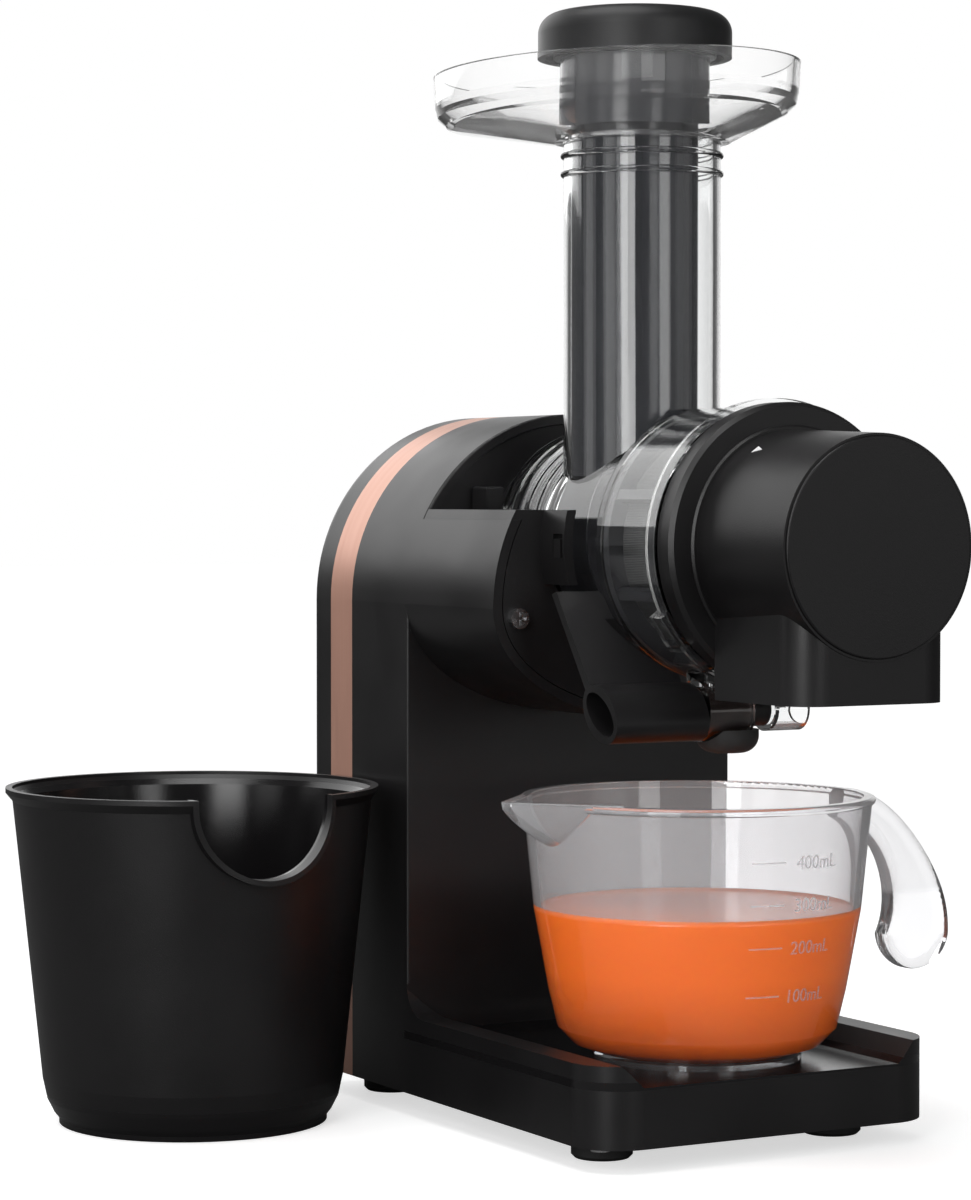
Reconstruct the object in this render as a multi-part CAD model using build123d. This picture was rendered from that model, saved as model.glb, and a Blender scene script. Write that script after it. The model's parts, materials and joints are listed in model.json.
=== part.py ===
from build123d import *
import math
import os

# Horizontal slow juicer: motor housing with tray base, gear train, clear drum with feed tube,
# strainer, auger, pulp cap, drip lever, food tray, pusher, juice jug and pulp bin.
#
# Millimetres. +X is the machine's right, +Y its back, +Z up. The pieces are drawn about a working
# point on the table, under the drum axis and level with the feed tube. They are saved moved by
# FRAME_SHIFT, which puts the part's origin in the middle of the front right foot's underside.

os.makedirs("parts", exist_ok=True)

FRAME_SHIFT = (-40.0, 34.0, 0.0)

# ---- housing ----
HALF_WIDTH = 58.8
ARCH_Z = 158.0
BASE_Z = 7.0
WALL = 3.0
COLUMN_FRONT = 51.7
BAND_FRONT = 89.0
BAND_BACK = 104.0
HOUSING_BACK = 118.3
BASE_FRONT = -63.3
BASE_CORNER = 15.0
RIM_Z = 30.8
TRAY_Z = 24.5
TRAY_HALF = 43.8
RIM_FILLET = 10.0
COLUMN_EDGE = 0.8
CHIN_FRONT = -3.0
CHIN_TOP = 187.0
CHIN_DEPTH = 34.5
LEDGE = 3.0
BAND_DEPTH = 2.0
SLEEVE_WALL = 2.0
BACK_ROUNDING = 5.0

# ---- drum, auger and cap ----
DRUM_Z = 177.0
NECK_R = 35.0
NECK_STEP = 7.5
REAR_NECK_R = 33.2
NECK_BACK = 40.0
BELL_R = 40.0
BELL_BACK = -30.0
BELL_FRONT = -60.6
DRUM_WALL = 2.5
FLANGE_R = 42.0
FLANGE_FRONT = -64.8
TUBE_X = -6.0
TUBE_R = 23.6
TUBE_BORE = 21.4
TUBE_TOP = 299.4
BEAD_HEIGHTS = (287.5, 293.0)
AUGER_R = 30.6
AUGER_CORE_R = 15.0
FLIGHT_TURNS = 3.5
MESH_R = 32.0
AUGER_BACK = 33.0
AUGER_FRONT = -66.0
CAP_BACK = -65.2
CAP_RIM_FRONT = -72.0
CAP_RIM_R = 40.8
CAP_R = 33.0
CAP_NOSE_R = 31.4
CAP_FRONT = -114.3
FACE_SEAT = -111.4
FACE_FRONT = -115.0
CHUTE_HALF = 26.0
CHUTE_Z = 133.8
CHUTE_BACK = -75.0
CHUTE_FRONT = -114.0
CHUTE_CORNER = 10.0

# ---- juice outlet and lever ----
VALVE_Y = -46.0
VALVE_Z = 129.0
VALVE_R = 9.0
VALVE_BORE = 7.0
PLUG_R = 6.2
VALVE_LEFT = -16.5
SLEEVE_RIGHT = -1.0
KNOB_R = 5.0
STUB_R = 6.5
STUB = (7.5, 19.5)
LEVER_LEFT = -48.0
LEVER_TILT = 34.0
LEVER_SWING = 30.0
PORT = (6.0, 2.9, 30.0)
LEVER_OVAL = (10.4, 7.2)
LEVER_HOLE = (8.6, 4.5)
OUTLET_X = -5.0
OUTLET_R = 4.5
OUTLET_BORE = 3.0
TIP_R = 9.2
TIP_Z = (116.7, 123.5)

# ---- tray, pusher, jug and bin ----
HOPPER_CENTRE = (-4.0, 20.0)
HOPPER_HALF = (50.0, 70.0)
HOPPER_RIM = 320.5
HOPPER_COLLAR = 297.0
HOPPER_MOUTH = 300.6
HOPPER_WALL = 2.0
PUSHER_AT = (-7.9, 1.05)  # it leans on the left of the feed tube's bore
PUSHER_R = 19.0
PUSHER_NECK_R = 22.4
PUSHER_FOOT_R = 32.6
PUSHER_NECK_Z = 302.2
PUSHER_CAP_R = 29.1
PUSHER_CAP_Z = 322.0
PUSHER_TOP = 335.5
JUG_Y = -21.9
JUG_RIM_R = 52.0
JUG_RIM_Z = 102.5
JUG_WALL = 2.2
SPOUT_TIP = 67.0
SPOUT_HALF = 20.0
SPOUT_DEPTH = 12.0
BIN_CENTRE = (-117.9, 80.3)
BIN_RIM_R = 56.9
BIN_RIM_Z = 102.5
NOTCH_R = 21.5
NOTCH_Z = 100.0

# ---- motor and gear train ----
MOTOR_Z = 89.6
IDLER_A = (14.0, 121.7)
IDLER_B = (-22.0, 137.7)
OUTPUT = (0.0, DRUM_Z)
MODULES = (1.0, 1.25, 1.5)
PINION_TEETH = (14, 14, 15)
WHEEL_TEETH = (56, 49, 45)
PRESSURE_ANGLE = math.radians(25)
BACKLASH = 0.28
OUTPUT_PLANE = (57.8, 63.4)
MIDDLE_PLANE = (64.2, 67.6)
MOTOR_PLANE = (68.4, 71.4)
CARRIER = (72.4, 75.4)
SHAFT_R = 3.0
RUNNING = 0.06
PLATE_BACK = 57.2
BOSS_FRONT = 45.5
STANDOFFS = ((-40.0, 186.0), (40.0, 186.0), (50.0, 118.0), (-46.0, 92.0))
STATOR = (79.0, 101.0)
STATOR_BOLT = 25.0
HEX_SOCKET = 5.2
HEX_SHAFT = 4.95

# ---- controls ----
BUTTON = (-36.0, -30.0, 42.2, 51.2)
BUTTON_FOOT = 181.0
BUTTON_TOP = 194.0
SPRING_HEIGHT = 8.0
SPRING_WIRE = 0.35
SWITCH = (46.0, 11.0, 7.0)
GLAND_X = 34.0
GLAND_Z = 28.0
BOARD_BACK = 109.6


# ---- basic solids ----
def block(x0, x1, y0, y1, z0, z1):
    return Pos((x0 + x1) / 2, (y0 + y1) / 2, (z0 + z1) / 2) * Box(x1 - x0, y1 - y0, z1 - z0)


def rod_x(radius, x0, x1, y, z):
    return Pos((x0 + x1) / 2, y, z) * Rot(0, 90, 0) * Cylinder(radius, x1 - x0)


def rod_y(radius, y0, y1, x=0.0, z=DRUM_Z):
    return Pos(x, (y0 + y1) / 2, z) * Rot(90, 0, 0) * Cylinder(radius, y1 - y0)


def rod_z(radius, z0, z1, x, y):
    return Pos(x, y, (z0 + z1) / 2) * Cylinder(radius, z1 - z0)


def ring_y(outer, inner, y0, y1, x=0.0, z=DRUM_Z):
    return rod_y(outer, y0, y1, x, z) - rod_y(inner, y0 - 1, y1 + 1, x, z)


def cone_y(front_r, back_r, y0, y1):
    """A frustum about the drum axis, front_r at y0 and back_r at y1."""
    return Pos(0, (y0 + y1) / 2, DRUM_Z) * Rot(90, 0, 0) * Cone(back_r, front_r, y1 - y0)


def along_y(sketch, y0, y1):
    """Extrudes a sketch drawn in (x, z) from y0 to y1."""
    return extrude(Plane.XZ.offset(-y1) * sketch, y1 - y0)


def along_x(sketch, x0, x1):
    """Extrudes a sketch drawn in (y, z) from x0 to x1."""
    return extrude(Plane.YZ.offset(x0) * sketch, x1 - x0)


def save(node, shape):
    solids = (Pos(*FRAME_SHIFT) * shape).solids()
    whole = solids[0] if len(solids) == 1 else Compound(children=list(solids))
    export_step(whole, f"parts/{node}.step")


# ---- housing sections ----
def arch(inset, low):
    """The column's section: straight sides from low up to the half-round top."""
    radius = HALF_WIDTH - inset
    legs = Pos(0, (low + ARCH_Z) / 2) * Rectangle(2 * radius, ARCH_Z - low)
    return Pos(0, ARCH_Z) * Circle(radius) + legs


def arch_top(inset, low):
    """The half-round top above low, which is higher than the arch's centre."""
    return (Pos(0, ARCH_Z) * Circle(HALF_WIDTH - inset)) & (Pos(0, low + 40) * Rectangle(120, 80))


def chin(inset, top):
    """The section of the head's lower half: half ellipse below, arch sides above, cut at top."""
    radius = HALF_WIDTH - inset
    upper = Pos(0, (ARCH_Z + top) / 2) * Rectangle(2 * radius, top - ARCH_Z)
    lower = Pos(0, ARCH_Z - radius / 2) * Rectangle(2 * radius, radius)
    shell = (Pos(0, ARCH_Z) * Circle(radius)) & upper
    return shell + (Pos(0, ARCH_Z) * Ellipse(radius, CHIN_DEPTH - inset) & lower)


def tray_slab(inset, y1, z0, z1):
    """The base block with its two front corners rounded."""
    half = HALF_WIDTH - inset
    slab = block(-half, half, BASE_FRONT + inset, y1, z0, z1)
    corners = slab.edges().filter_by(Axis.Z).sort_by(Axis.Y)[:2]
    return fillet(corners, BASE_CORNER - inset)


def rear_screw_places():
    return [(x, z) for x in (-46, 46) for z in (24, 178)]


def bottom_screw_places():
    return [(x, y) for x in (-50, 50) for y in (-50, 78)]


def motor_housing():
    shell = along_y(arch(0, BASE_Z), COLUMN_FRONT, BAND_FRONT)
    shell = fillet(shell.faces().sort_by(Axis.Y)[0].edges().sort_by(Axis.Z)[1:], COLUMN_EDGE)
    shell += tray_slab(0, BAND_FRONT, BASE_Z, RIM_Z)
    shell += along_y(chin(0, CHIN_TOP - LEDGE), CHIN_FRONT, COLUMN_FRONT + 1)
    corner_y = COLUMN_FRONT - RIM_FILLET
    corner = block(-HALF_WIDTH, HALF_WIDTH, corner_y, COLUMN_FRONT + 1, RIM_Z, RIM_Z + RIM_FILLET)
    shell += corner - rod_x(RIM_FILLET, -60, 60, corner_y, RIM_Z + RIM_FILLET)
    shell -= along_y(arch(WALL, BASE_Z - 1), COLUMN_FRONT + WALL, BAND_FRONT + 1)
    shell -= tray_slab(WALL, BAND_FRONT + 1, BASE_Z - 1, TRAY_Z - WALL)
    rise = RIM_Z - TRAY_Z + RIM_FILLET
    channel = Polygon(
        (-TRAY_HALF, TRAY_Z), (TRAY_HALF, TRAY_Z), (TRAY_HALF + rise, TRAY_Z + rise),
        (-TRAY_HALF - rise, TRAY_Z + rise), align=None)
    shell -= along_y(channel, BASE_FRONT - 1, COLUMN_FRONT)
    shell -= along_y(chin(WALL, CHIN_TOP), CHIN_FRONT - 1, COLUMN_FRONT + WALL + 1)
    shell -= along_y(arch_top(WALL, CHIN_TOP - LEDGE), COLUMN_FRONT - 1, COLUMN_FRONT + WALL + 1)
    for x, y in bottom_screw_places():
        shell += rod_z(3.5, BASE_Z + 3, TRAY_Z - WALL + 1, x, y) - rod_z(1.6, BASE_Z, BASE_Z + 11, x, y)
    for x, z in rear_screw_places():
        shell += along_y(Pos(x, z) * (Circle(4) - Circle(1.6)), 76, BAND_FRONT - 6)
        side = math.copysign(HALF_WIDTH - 1.5, x)
        web = block(min(x, side), max(x, side), 76, BAND_FRONT - 6, z - 1.5, z + 1.5)
        shell += (web & along_y(arch(0.5, BASE_Z), 70, BAND_FRONT)) - rod_y(1.6, 70, 90, x, z)
    return shell


def rear_cover():
    outer = along_y(arch(0, BASE_Z), BAND_BACK, HOUSING_BACK)
    rim = outer.faces().sort_by(Axis.Y)[-1].edges().sort_by(Axis.Z)[1:]
    cover = fillet(rim, BACK_ROUNDING)
    sleeve = BAND_DEPTH + 0.2
    cover += along_y(arch(sleeve, BASE_Z), BAND_FRONT + 0.2, BAND_BACK + 1)
    cover += along_y(arch(WALL + 0.2, BASE_Z), BAND_FRONT - 5, BAND_FRONT + 1)
    cover -= along_y(arch(WALL + 0.2 + SLEEVE_WALL, BASE_Z - 1), 80, HOUSING_BACK - WALL)
    cover -= block(-60, 60, 80, BAND_BACK, BASE_Z - 1, BASE_Z + 3)
    for x, z in board_posts():
        cover += rod_y(2, BOARD_BACK, HOUSING_BACK - 1, x, z)
    for x, z in rear_screw_places():
        cover += rod_y(4, BAND_FRONT - 6, HOUSING_BACK - 1, x, z)
        cover -= rod_y(1.7, 80, HOUSING_BACK + 1, x, z)
        cover -= rod_y(3.2, HOUSING_BACK - 4, HOUSING_BACK + 1, x, z)
    cover -= block(-SWITCH[2], SWITCH[2], 110, 120, SWITCH[0] - SWITCH[1], SWITCH[0] + SWITCH[1])
    cover -= rod_y(6.0, 110, 120, GLAND_X, GLAND_Z)
    for step in range(7):
        z = 118 + 7 * step
        cover -= block(-26, 26, 110, 120, z, z + 3)
    return cover


def copper_band():
    return along_y(arch(0, BASE_Z) - arch(BAND_DEPTH, BASE_Z - 1), BAND_FRONT, BAND_BACK)


def bottom_plate():
    plate = tray_slab(WALL + 0.3, HOUSING_BACK - WALL - 0.3, BASE_Z, BASE_Z + 2.4)
    for side in (-1, 1):
        plate -= block(side * 57 - 4, side * 57 + 4, BAND_FRONT - 6, 120, 6, 12)
    for x, y in bottom_screw_places():
        plate -= rod_z(1.8, 6, 12, x, y)
    for x, y in foot_places():
        plate -= rod_z(3.1, 6, 12, x, y)
    for step in range(9):
        y = 40 + 6 * step
        plate -= block(-26, 26, y, y + 2.5, 6, 12)
    return plate


def foot_places():
    return [(x, y) for x in (-40, 40) for y in (-34, 98)]


def rubber_feet():
    feet = []
    for x, y in foot_places():
        foot = rod_z(9, 0, BASE_Z, x, y)
        foot = chamfer(foot.edges().sort_by(Axis.Z)[:1], 1.0)
        foot += rod_z(2.9, BASE_Z, BASE_Z + 3.4, x, y)
        feet.append(foot + rod_z(4.2, BASE_Z + 2.6, BASE_Z + 4.2, x, y))
    return Compound(children=feet)


def screw_z(x, y, z, length):
    """A pan-head screw driven up from below, its head's seat at z."""
    head = rod_z(3, z - 1.8, z, x, y)
    slot = block(x - 2, x + 2, y - 0.4, y + 0.4, z - 2, z - 1)
    slot += block(x - 0.4, x + 0.4, y - 2, y + 2, z - 2, z - 1)
    return head - slot + rod_z(1.4, z, z + length, x, y)


def screw_y(x, y, z, length, facing):
    """A cross-head screw along Y. facing is -1 where its head looks forward, 1 where it looks back."""
    head_end = y + facing * 1.8
    head = rod_y(3, min(y, head_end), max(y, head_end), x, z)
    near, far = sorted((head_end + facing * 0.2, head_end - facing * 0.9))
    slot = block(x - 2, x + 2, near, far, z - 0.4, z + 0.4)
    slot += block(x - 0.4, x + 0.4, near, far, z - 2, z + 2)
    tip = y - facing * length
    return head - slot + rod_y(1.4, min(y, tip), max(y, tip), x, z)


def bottom_screws():
    return Compound(children=[screw_z(x, y, BASE_Z, 9) for x, y in bottom_screw_places()])


def rear_screws():
    return Compound(children=[screw_y(x, HOUSING_BACK - 4, z, 36, 1) for x, z in rear_screw_places()])


# ---- head ----
def front_plate():
    plate = along_y(arch(WALL + 0.3, 84), COLUMN_FRONT + WALL + 0.2, PLATE_BACK)
    plate += along_y(arch_top(WALL + 0.3, CHIN_TOP), COLUMN_FRONT + 0.8, COLUMN_FRONT + WALL + 1)
    boss = Pos(0, DRUM_Z) * Circle(28.4) + Pos(0, DRUM_Z - 4) * Rectangle(53, 20)
    plate += along_y(boss, BOSS_FRONT, COLUMN_FRONT + WALL + 1)
    for x, z in (IDLER_A, IDLER_B):
        plate -= rod_y(SHAFT_R + 0.02, PLATE_BACK - 1.8, PLATE_BACK + 1, x, z)
    return plate - rod_y(13, 40, 60)


def drum_cradle():
    lip = along_y(chin(WALL + 0.3, CHIN_TOP), CHIN_FRONT, CHIN_FRONT + WALL)
    pipe = rod_y(43, CHIN_FRONT, COLUMN_FRONT + 2)
    front_pipe = rod_y(43, -17, CHIN_FRONT) - block(-50, 50, -20, CHIN_FRONT, 120, 165)
    cradle = lip + pipe + front_pipe
    cradle -= block(-60, 60, -20, 60, CHIN_TOP, 230)
    ledge = along_y(chin(0, CHIN_TOP), CHIN_FRONT, COLUMN_FRONT)
    cradle += ledge & block(-60, 60, CHIN_FRONT, COLUMN_FRONT, CHIN_TOP - LEDGE + 0.02, CHIN_TOP)
    cradle -= rod_y(40, -30, 60)
    slope = Box(120, 40, 12, align=(Align.CENTER, Align.CENTER, Align.MIN))
    slope = Pos(0, -20, CHIN_TOP) * Rot(20, 0, 0) * slope
    cradle -= slope & block(-60, 60, -30, CHIN_FRONT, 170, 200)
    for side in (-1, 1):
        cradle -= block(side * 43 - 6, side * 43 + 6, -16, -10.5, 173, 180)
        cradle -= rod_y(1.6, -10, 10, side * 50.6, 155)
        cradle += rod_y(3.4, -0.5, 14, side * 50.6, 155) - rod_y(1.6, -5, 12, side * 50.6, 155)
    return cradle


def cradle_screws():
    return Compound(children=[screw_y(side * 50.6, CHIN_FRONT, 155, 12, -1) for side in (-1, 1)])


def release_button():
    x0, x1, y0, y1 = BUTTON
    cap = block(x0, x1, y0, y1, BUTTON_FOOT, BUTTON_TOP)
    return fillet(cap.faces().sort_by(Axis.Z)[-1].edges(), 0.8)


def button_guide():
    """The open-topped pocket on the front plate that the button and its spring sit in."""
    x0, x1, y0, y1 = BUTTON
    floor = BUTTON_FOOT - SPRING_HEIGHT
    guide = block(x0 - 1.3, x1 + 1.3, y0 - 1.3, COLUMN_FRONT + WALL + 0.2, floor - 1.5, CHIN_TOP - 0.5)
    return guide - block(x0 - 0.3, x1 + 0.3, y0 - 0.3, y1 + 0.3, floor, CHIN_TOP)


def coil(radius, wire, pitch, height, x, y, z):
    """A compression spring standing on z."""
    path = Helix(pitch, height, radius)
    section = Plane(path @ 0, z_dir=path % 0) * Circle(wire)
    return Pos(x, y, z + wire) * sweep(section, path=path, is_frenet=True)


def button_spring():
    x0, x1, y0, y1 = BUTTON
    height = SPRING_HEIGHT - 2 * SPRING_WIRE
    return coil(1.9, SPRING_WIRE, 2.0, height, (x0 + x1) / 2, (y0 + y1) / 2, BUTTON_FOOT - SPRING_HEIGHT)


def interlock_switch():
    return block(-52, -41, 0.1, 12, 160, 171) - rod_y(43, -20, 60)


def interlock_tab():
    return block(-43.2, -40.8, -15.2, -11.3, 173, 178.5)


# ---- power switch and cord inlet ----
def switch_bezel():
    z, tall, wide = SWITCH
    back = HOUSING_BACK

    def layer(margin, y0, y1):
        return block(-wide - margin, wide + margin, y0, y1, z - tall - margin, z + tall + margin)

    frame = layer(1.5, back, back + 1.2) + layer(-0.2, back - 10, back + 0.5)
    return frame - layer(-1.4, back - 8.5, back + 2)


def power_switch():
    """A three-position rocker that tips about a pin across its middle."""
    z, tall, wide = SWITCH
    reach = tall - 2.4
    outline = Polygon(
        (HOUSING_BACK - 4, z - reach), (HOUSING_BACK + 2.6, z - reach), (HOUSING_BACK + 1.0, z),
        (HOUSING_BACK + 2.6, z + reach), (HOUSING_BACK - 4, z + reach), align=None)
    return along_x(outline, -wide + 1.7, wide - 1.7)


def cord_gland():
    gland = rod_y(5.8, HOUSING_BACK - 5, HOUSING_BACK + 0.5, GLAND_X, GLAND_Z)
    gland += rod_y(8.0, HOUSING_BACK + 0.02, HOUSING_BACK + 2.5, GLAND_X, GLAND_Z)
    gland += rod_y(7.2, HOUSING_BACK - 5, HOUSING_BACK - WALL - 0.1, GLAND_X, GLAND_Z)
    return gland - rod_y(3.4, HOUSING_BACK - 6, HOUSING_BACK + 4, GLAND_X, GLAND_Z)


def board_posts():
    return [(-37, 29), (-13, 53)]


def control_board():
    board = block(-40, -10, BOARD_BACK - 1.6, BOARD_BACK, 26, 56)
    parts = ((-34, 32, 10, 6, 12), (-21, 30, 8, 5, 8), (-34, 47, 7, 4, 6), (-22, 42, 6, 3, 7))
    for x, z, wide, deep, tall in parts:
        board += block(x, x + wide, BOARD_BACK - 1.5 - deep, BOARD_BACK - 1.5, z, z + tall)
    return board


# ---- gears ----
def involute(base, radius):
    """Polar angle swept by an involute of the base circle when it reaches radius."""
    ratio = max(radius / base, 1.0)
    return math.sqrt(ratio * ratio - 1) - math.acos(1 / ratio)


def gear_outline(module, teeth, phase):
    """A spur gear's outline, with a tooth centred on the polar angle phase."""
    pitch_r = module * teeth / 2
    base_r = pitch_r * math.cos(PRESSURE_ANGLE)
    tip_r = pitch_r + 0.95 * module
    root_r = pitch_r - 1.2 * module
    half_tooth = (math.pi * module / 2 - BACKLASH) / 2 / pitch_r + involute(base_r, pitch_r)
    start = max(base_r, root_r)
    radii = [start + (tip_r - start) * step / 5 for step in range(6)]
    points = []
    for tooth in range(teeth):
        centre = phase + 2 * math.pi * tooth / teeth
        flank = [(radius, half_tooth - involute(base_r, radius)) for radius in radii]
        if root_r < base_r:
            flank.insert(0, (root_r, half_tooth))
        for radius, angle in flank:
            points.append((radius * math.cos(centre - angle), radius * math.sin(centre - angle)))
        for radius, angle in reversed(flank):
            points.append((radius * math.cos(centre + angle), radius * math.sin(centre + angle)))
    return Polygon(*points, align=None)


def meshing_phase(first, first_teeth, first_phase, second, second_teeth):
    """The phase that puts a gap of the second gear round a tooth of the first."""
    line = math.atan2(second[1] - first[1], second[0] - first[0])
    return line + math.pi - (first_phase - line) * first_teeth / second_teeth + math.pi / second_teeth


MOTOR = (0.0, MOTOR_Z)
PHASE_A = meshing_phase(MOTOR, PINION_TEETH[0], 0.0, IDLER_A, WHEEL_TEETH[0])
PHASE_B = meshing_phase(IDLER_A, PINION_TEETH[1], PHASE_A, IDLER_B, WHEEL_TEETH[1])
PHASE_OUT = meshing_phase(IDLER_B, PINION_TEETH[2], PHASE_B, OUTPUT, WHEEL_TEETH[2])


def spur(stage, teeth, phase, centre, plane):
    return along_y(Pos(*centre) * gear_outline(MODULES[stage], teeth, phase), *plane)


def compound_gear(stage, phase, centre, wheel_plane, pinion_plane):
    """A wheel of one stage with the next stage's pinion on the same hub."""
    gear = spur(stage, WHEEL_TEETH[stage], phase, centre, wheel_plane)
    gear += spur(stage + 1, PINION_TEETH[stage + 1], phase, centre, (pinion_plane[0], wheel_plane[0] + 0.1))
    rim_r = MODULES[stage] * WHEEL_TEETH[stage] / 2 - 3.5 * MODULES[stage]
    back = wheel_plane[1]
    gear -= ring_y(rim_r, 11, back - 1.0, back + 1, *centre)
    return gear - rod_y(SHAFT_R + RUNNING, 50, 90, *centre)


def motor_pinion():
    pinion = spur(0, PINION_TEETH[0], 0.0, MOTOR, MOTOR_PLANE)
    return pinion - rod_y(SHAFT_R, 50, 90, *MOTOR)


def output_gear():
    wheel = spur(2, WHEEL_TEETH[2], PHASE_OUT, OUTPUT, OUTPUT_PLANE)
    wheel -= ring_y(27, 14, OUTPUT_PLANE[1] - 1.5, OUTPUT_PLANE[1] + 1)
    return wheel - rod_y(7.0, 50, 90)


def output_shaft():
    """The drive shaft: a stepped journal with a hexagonal socket open to the front."""
    shaft = rod_y(7.0, 41.2, CARRIER[0] - 0.3) + rod_y(9.5, 41.2, BOSS_FRONT - 0.5)
    shaft += rod_y(4.0, CARRIER[0] - 1, CARRIER[1] + 3)
    return shaft - along_y(Pos(0, DRUM_Z) * RegularPolygon(HEX_SOCKET, 6), 40, 56)


def output_bearing():
    return ring_y(12.98, 7.0 + RUNNING, 49.2, PLATE_BACK - 0.2)


def shaft_seal():
    return ring_y(12.98, 7.3, BOSS_FRONT + 0.3, 49.0)


def idler_pins():
    pins = []
    for x, z in (IDLER_A, IDLER_B):
        pins.append(rod_y(SHAFT_R, PLATE_BACK - 1.6, CARRIER[1] + 1.5, x, z))
    return Compound(children=pins)


def stator_bolts():
    return [(x, MOTOR_Z + z) for x in (-STATOR_BOLT, STATOR_BOLT) for z in (-STATOR_BOLT, STATOR_BOLT)]


def gearbox_plate():
    """The plate behind the gears, on standoffs from the front plate, that carries the motor."""
    plate = along_y(arch(WALL + 0.6, 56), *CARRIER)
    plate -= rod_y(6.52, 70, 80, *MOTOR)
    plate -= rod_y(4.0 + RUNNING, 70, 80)
    for centre in (IDLER_A, IDLER_B):
        plate -= rod_y(SHAFT_R, 70, 80, *centre)
    for x, z in STANDOFFS:
        plate += rod_y(3.2, PLATE_BACK, CARRIER[0] + 1, x, z)
    for x, z in stator_bolts():
        plate += rod_y(3.5, CARRIER[1] - 1, STATOR[0], x, z)
    return plate


# ---- motor ----
def motor_stator():
    core = along_y(Pos(*MOTOR) * RectangleRounded(60, 60, 12), *STATOR)
    core -= rod_y(20, 70, 110, *MOTOR)
    for quarter in range(4):
        angle = math.pi / 2 * quarter
        x = 22 * math.cos(angle)
        z = MOTOR_Z + 22 * math.sin(angle)
        wide, tall = (5, 14) if quarter % 2 == 0 else (14, 5)
        core += block(x - wide, x + wide, *STATOR, z - tall, z + tall) - rod_y(16.4, 70, 110, *MOTOR)
    for x, z in stator_bolts():
        core -= rod_y(1.8, 70, 110, x, z)
    return core


def stator_windings():
    rings = [ring_y(25, 17.5, y0, y1, *MOTOR) for y0, y1 in ((76.4, 78.9), (101.1, 104.4))]
    rounded = [fillet(ring.edges().filter_by(GeomType.CIRCLE), 1.1) for ring in rings]
    return Compound(children=rounded)


def motor_rotor():
    rotor = rod_y(15.8, STATOR[0] + 0.5, STATOR[1] - 0.5, *MOTOR)
    for slot in range(12):
        angle = 2 * math.pi * slot / 12
        x = 15.5 * math.cos(angle)
        z = MOTOR_Z + 15.5 * math.sin(angle)
        rotor -= rod_y(1.1, 70, 110, x, z)
    return rotor - rod_y(SHAFT_R, 70, 110, *MOTOR)


def motor_shaft():
    return rod_y(SHAFT_R, 67.5, 112.5, *MOTOR)


def motor_bearings():
    return Compound(children=[ring_y(6.5, SHAFT_R + RUNNING, 72.4, 75.4, *MOTOR),
                              ring_y(6.5, SHAFT_R + RUNNING, 105.0, 107.6, *MOTOR)])


def motor_bracket():
    bar = along_y(Pos(*MOTOR) * SlotOverall(74, 14, rotation=45), 105.0, 107.6)
    bar -= rod_y(6.52, 100, 110, *MOTOR)
    for side in (-1, 1):
        bar += rod_y(3.5, STATOR[1], 105.2, side * STATOR_BOLT, MOTOR_Z + side * STATOR_BOLT)
    return bar


def cooling_fan():
    fan = ring_y(6, SHAFT_R, 108.4, 112.0, *MOTOR)
    for blade in range(9):
        spoke = Pos(*MOTOR) * Rot(0, 0, 40 * blade) * Pos(13, 0) * Rectangle(16, 1.2)
        fan += along_y(spoke, 108.4, 112.0)
    return fan + ring_y(21.5, 20.3, 108.4, 112.0, *MOTOR)


# ---- drum assembly ----
def drum():
    body = rod_y(NECK_R, BELL_BACK, NECK_STEP) + rod_y(REAR_NECK_R, NECK_STEP - 1, NECK_BACK)
    body += rod_y(BELL_R, BELL_FRONT, BELL_BACK)
    body += cone_y(BELL_R, NECK_R, BELL_BACK, BELL_BACK + 3)
    body += rod_y(FLANGE_R, FLANGE_FRONT, BELL_FRONT)
    for step in range(5):
        body += rod_y(REAR_NECK_R + 1.4, 12 + 6 * step, 14 + 6 * step)
    body += rod_z(TUBE_R, DRUM_Z, TUBE_TOP, TUBE_X, 0)
    for z in BEAD_HEIGHTS:
        body += Pos(TUBE_X, 0, z) * Torus(TUBE_R, 0.9)
    body += rod_x(VALVE_R, VALVE_LEFT, SLEEVE_RIGHT, VALVE_Y, VALVE_Z)
    body += rod_x(STUB_R, *STUB, VALVE_Y, VALVE_Z)
    body += block(VALVE_LEFT + 2, STUB[1] - 1, VALVE_Y - 7, VALVE_Y + 7, VALVE_Z, DRUM_Z - 30)
    body -= block(SLEEVE_RIGHT, STUB[0], VALVE_Y - 8, VALVE_Y + 8, VALVE_Z - 1, VALVE_Z + KNOB_R + 0.8)
    body += rod_z(OUTLET_R, TIP_Z[0] + 2, VALVE_Z, OUTLET_X, VALVE_Y)
    for step in range(4):
        lug = Pos(FLANGE_R - 1.5, -60, 0) * Box(5, 7, 12)
        body += Pos(0, 0, DRUM_Z) * Rot(0, 36 + 36 * step, 0) * lug
    bore = rod_y(NECK_R - DRUM_WALL, BELL_BACK - 1, NECK_STEP)
    bore += rod_y(AUGER_R + 0.6, NECK_STEP - 1, NECK_BACK - 4)
    bore += rod_y(BELL_R - DRUM_WALL, FLANGE_FRONT - 1, BELL_BACK - 1)
    bore += rod_z(TUBE_BORE, DRUM_Z, TUBE_TOP + 1, TUBE_X, 0)
    bore += rod_y(10.6, 30, NECK_BACK + 1)
    bore += rod_x(VALVE_BORE, VALVE_LEFT - 1, SLEEVE_RIGHT + 0.6, VALVE_Y, VALVE_Z)
    bore += rod_x(STUB_R - 1.8, STUB[0] + 2, STUB[1] + 1, VALVE_Y, VALVE_Z)
    bore += rod_z(OUTLET_BORE, TIP_Z[0] - 1, DRUM_Z - 30, OUTLET_X, VALVE_Y)
    return body - bore


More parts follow.
